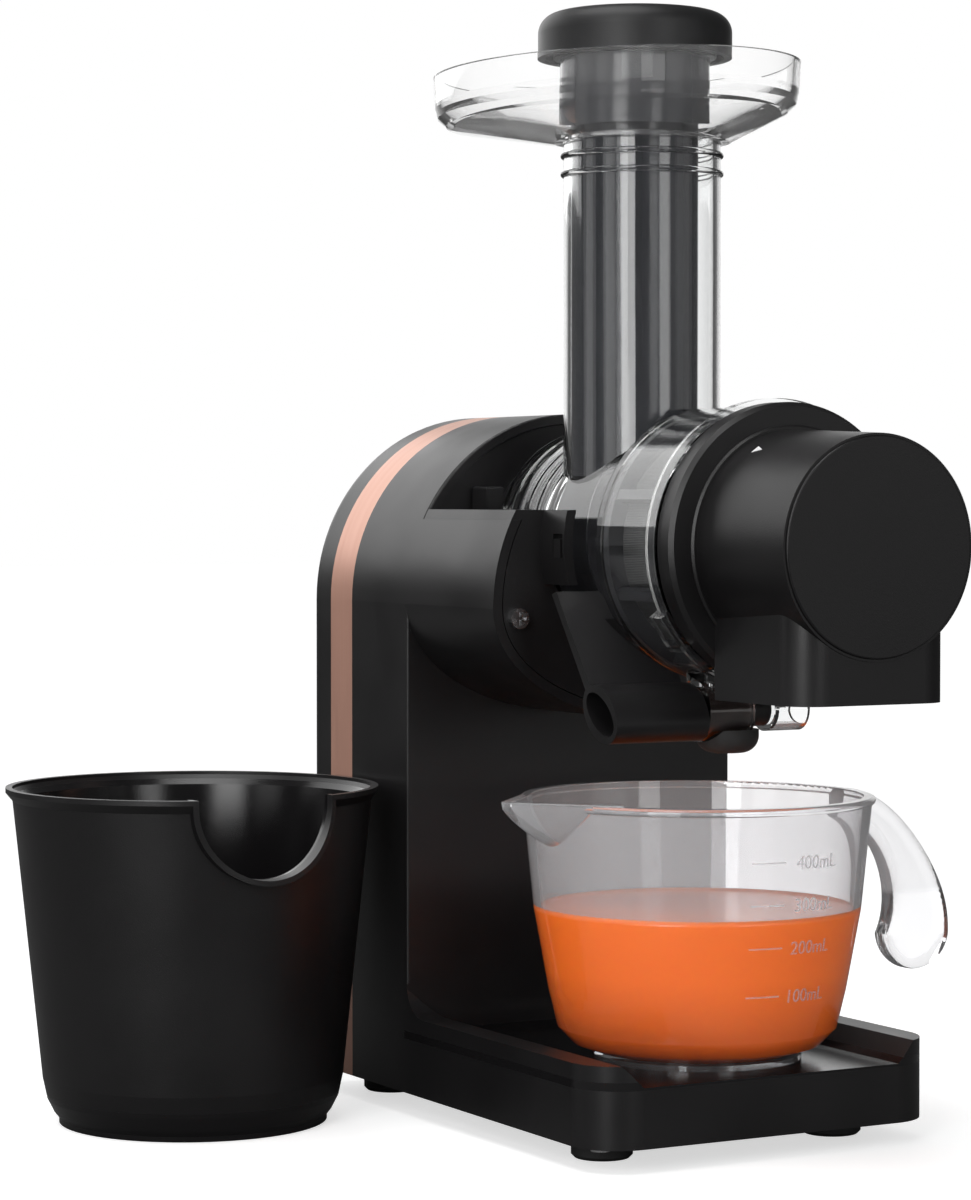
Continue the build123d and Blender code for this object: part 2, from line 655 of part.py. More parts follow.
def outlet_tip():
    """The rounded rubber cup that hugs the underside of the outlet and closes round its nozzle."""
    tip = rod_z(TIP_R, *TIP_Z, OUTLET_X, VALVE_Y)
    tip = fillet(tip.edges().sort_by(Axis.Z)[:1], 5.0)
    tip -= rod_x(VALVE_R + 0.04, VALVE_LEFT - 5, SLEEVE_RIGHT + 0.04, VALVE_Y, VALVE_Z)
    tip -= rod_z(OUTLET_R + 0.02, TIP_Z[0] + 1.98, VALVE_Z, OUTLET_X, VALVE_Y)
    return tip - rod_z(OUTLET_BORE, TIP_Z[0] - 1, VALVE_Z, OUTLET_X, VALVE_Y)


def drum_seal():
    return ring_y(10.5, 7.3, NECK_BACK - 3.9, NECK_BACK - 0.5)


def strainer_frame():
    """The open cage that holds the mesh: two rings joined by bars."""
    frame = ring_y(36.8, MESH_R, -62.5, -57.5) + ring_y(36.8, MESH_R, -34.5, BELL_BACK - 1.5)
    for bar in range(8):
        spine = Pos(35.4, -46, 0) * Box(2.4, 26, 3)
        frame += Pos(0, 0, DRUM_Z) * Rot(0, 45 * bar + 22.5, 0) * spine
    return frame


def strainer_mesh():
    return ring_y(MESH_R, AUGER_R + 0.6, -62.5, BELL_BACK - 1.5)


def auger():
    """A core with one helical flight, a closing disc at the back and a blunt nose at the front."""
    root = AUGER_BACK - 4
    section = (Circle(AUGER_CORE_R) + Pos(AUGER_R / 2, 0) * Rectangle(AUGER_R, 5.5)) & Circle(AUGER_R)
    placed = Plane.XZ.offset(-root) * Pos(0, DRUM_Z) * section
    centre = (0, root, DRUM_Z)
    reach = (0, AUGER_FRONT - root, 0)
    body = Solid.extrude_linear_with_rotation(placed.faces()[0], centre, reach, 360 * FLIGHT_TURNS)
    body += rod_y(AUGER_R, root - 1, AUGER_BACK) + rod_y(7.0, AUGER_BACK - 1, NECK_BACK + 0.5)
    body += cone_y(7.5, AUGER_CORE_R, AUGER_FRONT - 12, AUGER_FRONT)
    body += rod_y(5.0, FACE_SEAT + 7.4, AUGER_FRONT - 10)
    return body - rod_y(4.0, 0, 60)


def auger_shaft():
    shaft = rod_y(4.0, 0, NECK_BACK + 0.6)
    return shaft + along_y(Pos(0, DRUM_Z) * RegularPolygon(HEX_SHAFT, 6), NECK_BACK + 0.6, 54)


# ---- pulp cap ----
def end_cap():
    """The bayonet ring, the tapered nose and the pulp chute under it, open inside."""
    cap = rod_y(CAP_RIM_R, CAP_RIM_FRONT, CAP_BACK)
    cap = chamfer(cap.edges().filter_by(GeomType.CIRCLE).sort_by(Axis.Y)[:1], 1.2)
    bead = rod_y(CAP_R + 1.3, CAP_RIM_FRONT - 1.2, CAP_RIM_FRONT + 1)
    cap += chamfer(bead.edges().filter_by(GeomType.CIRCLE).sort_by(Axis.Y)[:1], 0.6)
    cap += cone_y(CAP_NOSE_R, CAP_R, CAP_FRONT, CAP_RIM_FRONT)
    chute = block(-CHUTE_HALF, CHUTE_HALF, CHUTE_FRONT, CHUTE_BACK + 3, CHUTE_Z, DRUM_Z - 10)
    corners = chute.edges().filter_by(Axis.Z).sort_by(Axis.Y)[:2]
    cap += fillet(corners, CHUTE_CORNER)
    cap -= rod_y(CAP_NOSE_R - 0.7, CAP_FRONT - 1, FACE_SEAT)
    bore = rod_y(36.0, CAP_RIM_FRONT + 3, CAP_BACK + 1)
    bore += rod_y(CAP_NOSE_R - WALL, FACE_SEAT + WALL, CAP_RIM_FRONT + 4)
    cap -= bore
    half = CHUTE_HALF - 2.5
    way_out = block(-half, half, CHUTE_FRONT + 4.5, CHUTE_BACK - 1, CHUTE_Z - 1, DRUM_Z - 8)
    cap -= way_out & rod_y(60, FACE_SEAT + WALL, CAP_RIM_FRONT + 4)
    hub = ring_y(8.5, 6.4, FACE_SEAT + 2, FACE_SEAT + 15.4)
    for spoke in range(3):
        web = Pos(18, 0, 0) * Box(22, 6, 2.4)
        hub += Pos(0, FACE_SEAT + 6, DRUM_Z) * Rot(0, 90 + 120 * spoke, 0) * web
    return cap + hub


def cap_face():
    """The plain round plate let into the nose's end."""
    disc = rod_y(CAP_NOSE_R - 0.8, FACE_FRONT, FACE_SEAT - 0.05)
    return fillet(disc.edges().filter_by(GeomType.CIRCLE).sort_by(Axis.Y)[:1], 0.5)


def cap_bush():
    return ring_y(6.35, 5.06, FACE_SEAT + 5.4, FACE_SEAT + 15.4)


def cap_seal():
    return ring_y(37.2, 36.2, CAP_BACK, CAP_BACK + 2.4)


# ---- drip lever ----
def drip_lever():
    """A round plug that turns in the outlet, an oval grip on its left and a curved thumb plate."""
    oval = Pos(VALVE_Y, VALVE_Z) * Rot(0, 0, LEVER_TILT) * Ellipse(*LEVER_OVAL)
    hole = Pos(VALVE_Y, VALVE_Z) * Rot(0, 0, LEVER_TILT) * Ellipse(*LEVER_HOLE)
    lever = along_x(oval, LEVER_LEFT, VALVE_LEFT - 0.5) - along_x(hole, LEVER_LEFT - 1, VALVE_LEFT - 4)
    top = (-18.6, 162.5)
    foot = (-38.6, 134.6)
    plate = Polygon(top, (top[0] - 2.6, top[1] + 0.8), (foot[0] - 2.8, foot[1] + 1.0), foot, align=None)
    thumb = along_x(plate, LEVER_LEFT, VALVE_LEFT - 0.5)
    thumb -= rod_y(BELL_R + 1.2, -60, BELL_BACK + 3) + rod_y(NECK_R + 1.2, BELL_BACK + 2, 0)
    plug = rod_x(PLUG_R, VALVE_LEFT - 1, SLEEVE_RIGHT - 0.3, VALVE_Y, VALVE_Z)
    plug += rod_x(KNOB_R, SLEEVE_RIGHT - 1, STUB[0] - 0.4, VALVE_Y, VALVE_Z)
    port = Pos(OUTLET_X, VALVE_Y, VALVE_Z) * Rot(LEVER_SWING, 0, 0) * Box(*PORT)
    return lever + thumb + plug - port


def valve_seal():
    sleeve = rod_x(VALVE_BORE - 0.05, VALVE_LEFT + 1, SLEEVE_RIGHT - 0.5, VALVE_Y, VALVE_Z)
    sleeve -= rod_x(PLUG_R + 0.05, VALVE_LEFT, SLEEVE_RIGHT, VALVE_Y, VALVE_Z)
    return sleeve - Pos(OUTLET_X, VALVE_Y, VALVE_Z) * Box(*PORT)


# ---- food tray and pusher ----
def oval_section(shrink, z):
    half_x, half_y = HOPPER_HALF
    x, y = HOPPER_CENTRE
    return Pos(x, y, z) * Ellipse(half_x - shrink, half_y - shrink)


def round_section(radius, z):
    """A circle about the feed tube, turned so that its seam lies where the ovals have theirs."""
    return Pos(TUBE_X, 0, z) * Rot(0, 0, 90) * Circle(radius)


def hopper_tray():
    """An upright rim round a floor that slopes down to the feed tube's mouth."""
    wall = HOPPER_WALL
    outer = [round_section(TUBE_R + 3, HOPPER_COLLAR)]
    for shrink, z in ((4.0, 305.6), (1.4, 308.0), (0.6, 311.0), (0.0, HOPPER_RIM)):
        outer.append(oval_section(shrink, z))
    inner = [round_section(TUBE_BORE, HOPPER_MOUTH)]
    for shrink, z in ((5.0, 307.8), (1.4, 310.6), (0.6, 312.6), (0.0, HOPPER_RIM + 1)):
        inner.append(oval_section(shrink + wall, z))
    tray = loft(outer, ruled=True) - loft(inner, ruled=True)
    tray -= rod_z(TUBE_BORE, HOPPER_COLLAR - 1, HOPPER_RIM, TUBE_X, 0)
    return tray - rod_z(TUBE_R + 0.1, HOPPER_COLLAR - 1, TUBE_TOP + 0.1, TUBE_X, 0)


def pusher_body():
    """A hollow plug whose foot is hollowed out to clear the auger and whose neck rests on the tray."""
    body = rod_z(PUSHER_R, DRUM_Z + 20, PUSHER_NECK_Z + 1, *PUSHER_AT)
    body += rod_z(PUSHER_NECK_R, PUSHER_NECK_Z, PUSHER_CAP_Z + 3, *PUSHER_AT)
    body -= rod_z(PUSHER_R - 2.5, DRUM_Z + PUSHER_FOOT_R + 3, PUSHER_CAP_Z - 4, *PUSHER_AT)
    for angle in (-121, 59):
        body -= Pos(*PUSHER_AT, 264) * Rot(0, 0, angle) * Pos(PUSHER_R, 0, 0) * Box(2.4, 4.0, 70)
    body -= Pos(*PUSHER_AT, 317) * Rot(0, 0, -107) * Pos(PUSHER_NECK_R, 0, 0) * Box(2.0, 7.5, 14)
    return body - rod_y(PUSHER_FOOT_R, -30, 30)


def pusher_cap():
    cap = rod_z(PUSHER_CAP_R, PUSHER_CAP_Z, PUSHER_TOP, *PUSHER_AT)
    cap = fillet(cap.edges().sort_by(Axis.Z)[-1:], 6.0)
    cap -= rod_z(PUSHER_NECK_R + 0.02, PUSHER_CAP_Z - 1, PUSHER_CAP_Z + 3.02, *PUSHER_AT)
    gap = rod_z(PUSHER_CAP_R - 2.5, PUSHER_CAP_Z - 1, PUSHER_CAP_Z + 9, *PUSHER_AT)
    gap -= rod_z(PUSHER_NECK_R + 2, PUSHER_CAP_Z - 2, PUSHER_CAP_Z + 10, *PUSHER_AT)
    return cap - gap


# ---- jug ----
JUG_PROFILE = ((31.0, 24.5), (31.5, 27.2), (37.0, 29.2), (41.6, 34.0), (44.2, 45.0), (48.6, 69.0),
               (JUG_RIM_R, JUG_RIM_Z))


def revolved(profile, x, y):
    """Turns an (r, z) outline, closed along the axis, about the vertical through (x, y)."""
    points = [(0, profile[0][1]), *profile, (0, profile[-1][1])]
    face = Plane.XZ * Polygon(*points, align=None)
    return Pos(x, y, 0) * revolve(face, Axis.Z)


def inner_profile(profile, wall, floor, top):
    """The outline's inside: wall thinner, starting at floor and running out past the top."""
    inside = [(r - wall, z) for r, z in profile if z > floor + 3]
    return [(inside[0][0] - 5, floor), *inside[:-1], (inside[-1][0], top)]


def jug():
    body = revolved(JUG_PROFILE, 0, JUG_Y)
    body += Pos(0, JUG_Y, JUG_RIM_Z - 1.2) * Torus(JUG_RIM_R - 0.4, 1.2)
    body += Pos(0, JUG_Y, 0) * spout_solid(0, 0.4)
    body += handle()
    body -= revolved(inner_profile(JUG_PROFILE, JUG_WALL, 29.5, JUG_RIM_Z + 4), 0, JUG_Y)
    body -= Pos(0, JUG_Y, 0) * spout_solid(JUG_WALL, 4.0)
    return body - rod_z(28.5, 24, 26.2, 0, JUG_Y)


def spout_solid(inset, top):
    """The pouring lip on the jug's left: sections with a parabolic floor that shrink towards the tip."""
    sections = []
    for reach in (25.0, 20.0, 14.0, 9.0, 4.5, 1.0):
        half = SPOUT_HALF * reach / 18.3 - 0.3 * inset
        depth = SPOUT_DEPTH * (reach / 14.3) ** 0.7 - 0.5 * inset
        floor = Bezier((-half, 0), (0, -2 * depth), (half, 0))
        outline = floor + Polyline((half, 0), (half, top), (-half, top), (-half, 0))
        place = Plane((1.3 * inset + reach - SPOUT_TIP, 0, JUG_RIM_Z), x_dir=(0, 1, 0), z_dir=(1, 0, 0))
        sections.append(place * make_face(outline))
    return loft(sections)


def handle():
    """An open hook: it leaves the rim, turns down and ends free of the wall."""
    outer = [(49, 102), (58, 101.5), (71, 94), (83, 80), (89.5, 66), (90.5, 55.5)]
    inner = [(66, 57), (68.5, 66), (66.5, 78), (60, 88), (50.5, 94)]
    edge = Spline(*outer) + ThreePointArc(outer[-1], (78.5, 45.5), inner[0]) + Spline(*inner)
    edge += Line(inner[-1], outer[0])
    face = Plane.XZ * make_face(edge)
    grip = extrude(face, 4.5, both=True)
    grip = fillet(grip.faces().filter_by(Axis.Y).edges(), 3.4)
    return Pos(0, JUG_Y, 0) * grip


# ---- pulp bin ----
BIN_PROFILE = ((41.0, 0.0), (41.0, 1.6), (42.6, 3.6), (44.6, 7.5), (46.0, 14.0), (54.8, 98.5),
               (BIN_RIM_R, 101.0), (BIN_RIM_R, BIN_RIM_Z))
BIN_INSIDE = ((39.5, 4.5), (43.0, 8.0), (44.2, 15.0), (52.8, 98.5), (54.9, 101.5), (54.9, 104.0))


def pulp_bin():
    """A tapered bin whose front is notched where the chute's pulp falls in."""
    x, y = BIN_CENTRE
    body = revolved(BIN_PROFILE, x, y) - revolved(BIN_INSIDE, x, y)
    notch = Pos(x, NOTCH_Z) * Circle(NOTCH_R) + Pos(x, NOTCH_Z + 10) * Rectangle(2 * NOTCH_R, 20)
    body -= along_y(notch, y - BIN_RIM_R - 5, y)
    rim = Circle(NOTCH_R + 1.6) + Pos(0, 1.3) * Rectangle(2 * NOTCH_R + 3.2, 2.6)
    rim -= Circle(NOTCH_R) + Pos(0, 10) * Rectangle(2 * NOTCH_R, 20)
    rim = Pos(x, NOTCH_Z) * (rim & Pos(0, -18.7) * Rectangle(60, 42.6))
    shell = revolved(((44.0, 60.0), (BIN_RIM_R, 60.1), (BIN_RIM_R, BIN_RIM_Z), (44.0, BIN_RIM_Z)), x, y)
    shell -= revolved(((44.0, 55.0), (48.5, 56.0), (52.8, BIN_RIM_Z + 1), (44.0, BIN_RIM_Z + 1)), x, y)
    body += along_y(rim, y - BIN_RIM_R - 5, y) & shell
    return body - rod_z(38.5, -1, 1.2, x, y)


PIECES = {
    "motor_housing": motor_housing,
    "rear_cover": rear_cover,
    "copper_band": copper_band,
    "bottom_plate": bottom_plate,
    "rubber_feet": rubber_feet,
    "bottom_screws": bottom_screws,
    "rear_screws": rear_screws,
    "front_plate": front_plate,
    "drum_cradle": drum_cradle,
    "cradle_screws": cradle_screws,
    "release_button": release_button,
    "button_guide": button_guide,
    "button_spring": button_spring,
    "interlock_switch": interlock_switch,
    "interlock_tab": interlock_tab,
    "switch_bezel": switch_bezel,
    "power_switch": power_switch,
    "cord_gland": cord_gland,
    "control_board": control_board,
    "gearbox_plate": gearbox_plate,
    "idler_pins": idler_pins,
    "motor_pinion": motor_pinion,
    "output_gear": output_gear,
    "output_shaft": output_shaft,
    "output_bearing": output_bearing,
    "shaft_seal": shaft_seal,
    "motor_stator": motor_stator,
    "stator_windings": stator_windings,
    "motor_rotor": motor_rotor,
    "motor_shaft": motor_shaft,
    "motor_bearings": motor_bearings,
    "motor_bracket": motor_bracket,
    "cooling_fan": cooling_fan,
    "drum": drum,
    "outlet_tip": outlet_tip,
    "drum_seal": drum_seal,
    "strainer_frame": strainer_frame,
    "strainer_mesh": strainer_mesh,
    "auger": auger,
    "auger_shaft": auger_shaft,
    "end_cap": end_cap,
    "cap_face": cap_face,
    "cap_bush": cap_bush,
    "cap_seal": cap_seal,
    "drip_lever": drip_lever,
    "valve_seal": valve_seal,
    "hopper_tray": hopper_tray,
    "pusher_body": pusher_body,
    "pusher_cap": pusher_cap,
    "jug": jug,
    "pulp_bin": pulp_bin,
}

for node, make in PIECES.items():
    save(node, make())
save("first_gear", compound_gear(0, PHASE_A, IDLER_A, MOTOR_PLANE, MIDDLE_PLANE))
save("second_gear", compound_gear(1, PHASE_B, IDLER_B, MIDDLE_PLANE, OUTPUT_PLANE))
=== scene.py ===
import json
import math

import bpy
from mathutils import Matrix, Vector


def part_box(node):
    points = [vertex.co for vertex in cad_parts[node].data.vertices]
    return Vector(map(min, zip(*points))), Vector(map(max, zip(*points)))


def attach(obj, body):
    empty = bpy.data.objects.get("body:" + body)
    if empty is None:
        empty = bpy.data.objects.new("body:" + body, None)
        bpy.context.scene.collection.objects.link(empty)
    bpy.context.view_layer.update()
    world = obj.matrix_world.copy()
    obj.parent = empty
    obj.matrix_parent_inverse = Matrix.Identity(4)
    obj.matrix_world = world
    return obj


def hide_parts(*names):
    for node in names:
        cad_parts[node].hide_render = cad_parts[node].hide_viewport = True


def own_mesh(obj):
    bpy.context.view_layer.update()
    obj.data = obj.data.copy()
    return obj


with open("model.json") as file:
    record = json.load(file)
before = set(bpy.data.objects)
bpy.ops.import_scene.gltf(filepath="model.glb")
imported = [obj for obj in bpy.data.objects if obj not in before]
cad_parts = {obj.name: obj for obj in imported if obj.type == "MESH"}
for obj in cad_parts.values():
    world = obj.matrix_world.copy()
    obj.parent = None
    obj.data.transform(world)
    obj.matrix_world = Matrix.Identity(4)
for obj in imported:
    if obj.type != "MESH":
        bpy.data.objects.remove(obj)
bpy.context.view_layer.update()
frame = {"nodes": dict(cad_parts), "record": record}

MM = 0.001
DRUM_HEIGHT = 177       # the drum's axis above the table, in mm
VIEW_TURN = 28.93       # how far the camera looks to the right of the drum's axis, in degrees
VIEW_DIP = 1.7          # how far it looks down, in degrees
CAP_TO_TUBE = 0.115     # from the cap's face back to the feed tube's axis, in m
FACE_LOW, FACE_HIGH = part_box("cap_face")
# The point on the table under the drum's axis, level with the feed tube. Numbers below are from it.
WORK = Vector(((FACE_LOW[0] + FACE_HIGH[0]) / 2, FACE_LOW[1] + CAP_TO_TUBE, 0))


# ---------------------------------------------------------------- camera
def add_camera():
    data = bpy.data.cameras.new("camera")
    data.sensor_width = 36
    data.lens = 104.36
    data.clip_start = 0.05
    data.clip_end = 50
    cam = bpy.data.objects.new("camera", data)
    cam.location = WORK + Vector((-0.55412, -0.89449, 0.19086))
    cam.rotation_euler = (math.radians(90 - VIEW_DIP), 0, math.radians(-VIEW_TURN))
    bpy.context.collection.objects.link(cam)
    bpy.context.scene.camera = cam


add_camera()


# ---------------------------------------------------------------- node helpers
def new_material(name):
    mat = bpy.data.materials.new(name)
    mat.use_nodes = True
    nodes = mat.node_tree.nodes
    return mat, nodes, mat.node_tree.links, nodes["Principled BSDF"]


def put(nodes, kind, **values):
    """Adds a node. A value whose key is an attribute is set there, the others on the inputs."""
    node = nodes.new(kind)
    for key, value in values.items():
        if key in node.inputs:
            node.inputs[key].default_value = value
        else:
            setattr(node, key, value)
    return node


def object_coords(nodes, links, scale=(1, 1, 1)):
    coords = put(nodes, "ShaderNodeTexCoord")
    mapping = put(nodes, "ShaderNodeMapping")
    mapping.inputs["Scale"].default_value = scale
    links.new(coords.outputs["Object"], mapping.inputs["Vector"])
    return mapping.outputs["Vector"]


def noise(nodes, links, vector, scale, detail):
    node = put(nodes, "ShaderNodeTexNoise", Scale=scale, Detail=detail, Roughness=0.5)
    links.new(vector, node.inputs["Vector"])
    return node.outputs["Fac"]


def ramp(nodes, links, factor, low, high, start=0.0, end=1.0):
    """Maps a factor between start and end to low and high numbers."""
    node = put(nodes, "ShaderNodeMapRange")
    node.inputs["From Min"].default_value = start
    node.inputs["From Max"].default_value = end
    node.inputs["To Min"].default_value = low
    node.inputs["To Max"].default_value = high
    links.new(factor, node.inputs["Value"])
    return node.outputs["Result"]


def math_node(nodes, links, operation, *values):
    node = put(nodes, "ShaderNodeMath", operation=operation)
    for socket, value in zip(node.inputs, values):
        if isinstance(value, (int, float)):
            socket.default_value = value
        else:
            links.new(value, socket)
    return node.outputs[0]


def bump(nodes, links, height, distance):
    node = put(nodes, "ShaderNodeBump", Strength=1.0, Distance=distance)
    links.new(height, node.inputs["Height"])
    return node.outputs["Normal"]


def seen_directly(nodes, links):
    """1 on rays from the camera, straight or through clear plastic, 0 once a surface has reflected them."""
    path = put(nodes, "ShaderNodeLightPath")
    straight = math_node(nodes, links, "LESS_THAN", path.outputs["Glossy Depth"], 0.5)
    through = math_node(nodes, links, "MULTIPLY", path.outputs["Is Transmission Ray"], straight)
    return math_node(nodes, links, "MAXIMUM", path.outputs["Is Camera Ray"], through)


def mix_colour(nodes, links, factor, a, b):
    """Mixes two colours, which are sockets 6 and 7 of the node. Its output 2 is the mixed colour."""
    node = put(nodes, "ShaderNodeMix", data_type="RGBA")
    node.inputs[6].default_value = (*a, 1)
    node.inputs[7].default_value = (*b, 1)
    links.new(factor, node.inputs["Factor"])
    return node.outputs[2]


# ---------------------------------------------------------------- materials
POLISHED = 0.13         # roughness of polished plastic
WIRES_ROUND = 420       # the strainer's wires along the drum's axis
WIRE_PITCH = 0.0005     # the distance between the wires round it, in m


def moulded_plastic(name, colour, rough, grain=0.00002, spread=0.06, gloss_mask=None):
    """Moulded plastic: spark-eroded grain, slow changes of gloss and a little unevenness of colour.

    gloss_mask, if given, builds a 0 to 1 socket where the surface is polished instead.
    """
    mat, nodes, links, shader = new_material(name)
    vector = object_coords(nodes, links)
    slow = noise(nodes, links, vector, 28, 3)
    fine = noise(nodes, links, vector, 2600, 2)
    lighter = tuple(min(1, c * 1.25 + 0.002) for c in colour)
    links.new(mix_colour(nodes, links, slow, colour, lighter), shader.inputs["Base Color"])
    gloss = ramp(nodes, links, slow, rough - spread, rough + spread, 0.3, 0.7)
    if gloss_mask is not None:
        mask = gloss_mask(nodes, links)
        mixer = put(nodes, "ShaderNodeMix", data_type="FLOAT")
        links.new(mask, mixer.inputs["Factor"])
        links.new(gloss, mixer.inputs[2])
        mixer.inputs[3].default_value = POLISHED
        gloss = mixer.outputs[0]
    links.new(gloss, shader.inputs["Roughness"])
    links.new(bump(nodes, links, fine, grain), shader.inputs["Normal"])
    return mat


def clear_plastic(name, colour, rough=0.02, ripple=0.0001, clarity=1.0, ior=1.49, painted_light_veil=None):
    """Clear polished plastic with faint flow ripples. Lamps shine through it.

    clarity is the share of light that passes through; the rest is scattered as by a milky veil.
    The last argument, if given, is a height and the clarity above it; the milkier plastic above that height
    is painted light that lightens it.
    """
    mat, nodes, links, shader = new_material(name)
    vector = object_coords(nodes, links)
    slow = noise(nodes, links, vector, 22, 2)
    shader.inputs["Base Color"].default_value = (*colour, 1)
    shader.inputs["Transmission Weight"].default_value = clarity
    shader.inputs["IOR"].default_value = ior
    if painted_light_veil is not None:
        split = put(nodes, "ShaderNodeSeparateXYZ")
        links.new(vector, split.inputs[0])
        height, above = painted_light_veil
        veil = ramp(nodes, links, split.outputs["Z"], clarity, above, height - 0.001, height + 0.001)
        links.new(veil, shader.inputs["Transmission Weight"])
    links.new(ramp(nodes, links, slow, rough * 0.5, rough * 1.8, 0.3, 0.7), shader.inputs["Roughness"])
    links.new(bump(nodes, links, slow, ripple), shader.inputs["Normal"])
    path = put(nodes, "ShaderNodeLightPath")
    clear = put(nodes, "ShaderNodeBsdfTransparent")
    clear.inputs["Color"].default_value = (*[0.86 * c for c in colour], 1)
    mixer = put(nodes, "ShaderNodeMixShader")
    links.new(path.outputs["Is Shadow Ray"], mixer.inputs[0])
    links.new(shader.outputs[0], mixer.inputs[1])
    links.new(clear.outputs[0], mixer.inputs[2])
    links.new(mixer.outputs[0], nodes["Material Output"].inputs["Surface"])
    return mat


def brushed_metal(name, colour, rough, axis_scale, grain=0.00003, anisotropy=0.4, metallic=1.0):
    """Metal with fine parallel brushing. axis_scale is small along the brushing direction."""
    mat, nodes, links, shader = new_material(name)
    lines = noise(nodes, links, object_coords(nodes, links, axis_scale), 900, 3)
    slow = noise(nodes, links, object_coords(nodes, links), 35, 3)
    darker = tuple(c * 0.86 for c in colour)
    links.new(mix_colour(nodes, links, slow, darker, colour), shader.inputs["Base Color"])
    shader.inputs["Metallic"].default_value = metallic
    shader.inputs["Anisotropic"].default_value = anisotropy
    links.new(ramp(nodes, links, lines, rough * 0.8, rough * 1.25, 0.3, 0.7), shader.inputs["Roughness"])
    links.new(bump(nodes, links, lines, grain), shader.inputs["Normal"])
    return mat


def rubber(name, colour):
    mat, nodes, links, shader = new_material(name)
    vector = object_coords(nodes, links)
    speckle = noise(nodes, links, vector, 1500, 3)
    slow = noise(nodes, links, vector, 60, 3)
    dusty = tuple(min(1, c * 1.5 + 0.01) for c in colour)
    links.new(mix_colour(nodes, links, slow, colour, dusty), shader.inputs["Base Color"])
    links.new(ramp(nodes, links, slow, 0.65, 0.85, 0.3, 0.7), shader.inputs["Roughness"])
    links.new(bump(nodes, links, speckle, 0.00004), shader.inputs["Normal"])
    return mat


def woven_steel(name):
    """The strainer's fine square mesh: bright wires with dark openings between them."""
    mat, nodes, links, shader = new_material(name)
    coords = put(nodes, "ShaderNodeTexCoord")
    split = put(nodes, "ShaderNodeSeparateXYZ")
    links.new(coords.outputs["Object"], split.inputs[0])
    up = math_node(nodes, links, "SUBTRACT", split.outputs["Z"], DRUM_HEIGHT * MM)
    across = math_node(nodes, links, "SUBTRACT", split.outputs["X"], WORK.x)
    angle = math_node(nodes, links, "ARCTAN2", up, across)
    waves = []
    for source, count in ((angle, WIRES_ROUND), (split.outputs["Y"], 2 * math.pi / WIRE_PITCH)):
        turned = math_node(nodes, links, "MULTIPLY", source, count)
        waves.append(math_node(nodes, links, "COSINE", turned))
    wire = math_node(nodes, links, "MAXIMUM", *waves)
    face = ramp(nodes, links, wire, 0.0, 1.0, 0.1, 0.7)
    weave = mix_colour(nodes, links, face, (0.02, 0.02, 0.02), (0.24, 0.24, 0.24))
    links.new(weave, shader.inputs["Base Color"])
    shader.inputs["Metallic"].default_value = 0.9
    links.new(ramp(nodes, links, face, 0.6, 0.3), shader.inputs["Roughness"])
    links.new(bump(nodes, links, wire, 0.0001), shader.inputs["Normal"])
    return mat


def juice_liquid(name):
    """Opaque orange juice: soft light inside, a wet surface, fine pulp, and painted shade that darkens it
    towards the bottom.
    """
    mat, nodes, links, shader = new_material(name)
    vector = object_coords(nodes, links)
    pulp = noise(nodes, links, vector, 900, 3)
    drift = noise(nodes, links, vector, 14, 2)
    split = put(nodes, "ShaderNodeSeparateXYZ")
    links.new(vector, split.inputs[0])
    # Painted shade: the orange darkens towards the bottom of the juice.
    height_shade = ramp(nodes, links, split.outputs["Z"], 0.0, 0.75, 0.030, 0.052)
    fleck = math_node(nodes, links, "MULTIPLY", math_node(nodes, links, "ADD", pulp, drift), 0.14)
    spread = math_node(nodes, links, "ADD", height_shade, fleck)
    orange = mix_colour(nodes, links, spread, (0.46, 0.070, 0.002), (0.84, 0.160, 0.004))
    links.new(orange, shader.inputs["Base Color"])
    links.new(ramp(nodes, links, drift, 0.16, 0.26, 0.3, 0.7), shader.inputs["Roughness"])
    shader.inputs["Subsurface Weight"].default_value = 0.25
    shader.inputs["Subsurface Radius"].default_value = (1.0, 0.35, 0.08)
    shader.inputs["Subsurface Scale"].default_value = 0.004
    links.new(bump(nodes, links, pulp, 0.00002), shader.inputs["Normal"])
    return mat


def circuit_board(name):
    mat, nodes, links, shader = new_material(name)
    cells = put(nodes, "ShaderNodeTexVoronoi", Scale=420.0)
    links.new(object_coords(nodes, links), cells.inputs["Vector"])
    pads = ramp(nodes, links, cells.outputs["Distance"], 1, 0, 0.15, 0.3)
    green = mix_colour(nodes, links, pads, (0.01, 0.11, 0.045), (0.55, 0.5, 0.4))
    links.new(green, shader.inputs["Base Color"])
    links.new(ramp(nodes, links, pads, 0.35, 0.2), shader.inputs["Roughness"])
    links.new(bump(nodes, links, cells.outputs["Distance"], 0.00005), shader.inputs["Normal"])
    return mat


TRAY_LAYER = (0.0238, 0.0262)   # heights just below and just above the tray's floor, in m
TRAY_BACK = 0.0535              # just behind the column's front, where the tray ends, from WORK


def tray_floor_mask(nodes, links):
    """1 in a thin layer at the height of the base tray's polished floor, 0 elsewhere."""
    coords = put(nodes, "ShaderNodeTexCoord")
    split = put(nodes, "ShaderNodeSeparateXYZ")
    links.new(coords.outputs["Object"], split.inputs[0])
    low = math_node(nodes, links, "LESS_THAN", split.outputs["Z"], TRAY_LAYER[1])
    high = math_node(nodes, links, "GREATER_THAN", split.outputs["Z"], TRAY_LAYER[0])
    inside = math_node(nodes, links, "LESS_THAN", split.outputs["Y"], WORK.y + TRAY_BACK)
    return math_node(nodes, links, "MULTIPLY", math_node(nodes, links, "MULTIPLY", low, high), inside)


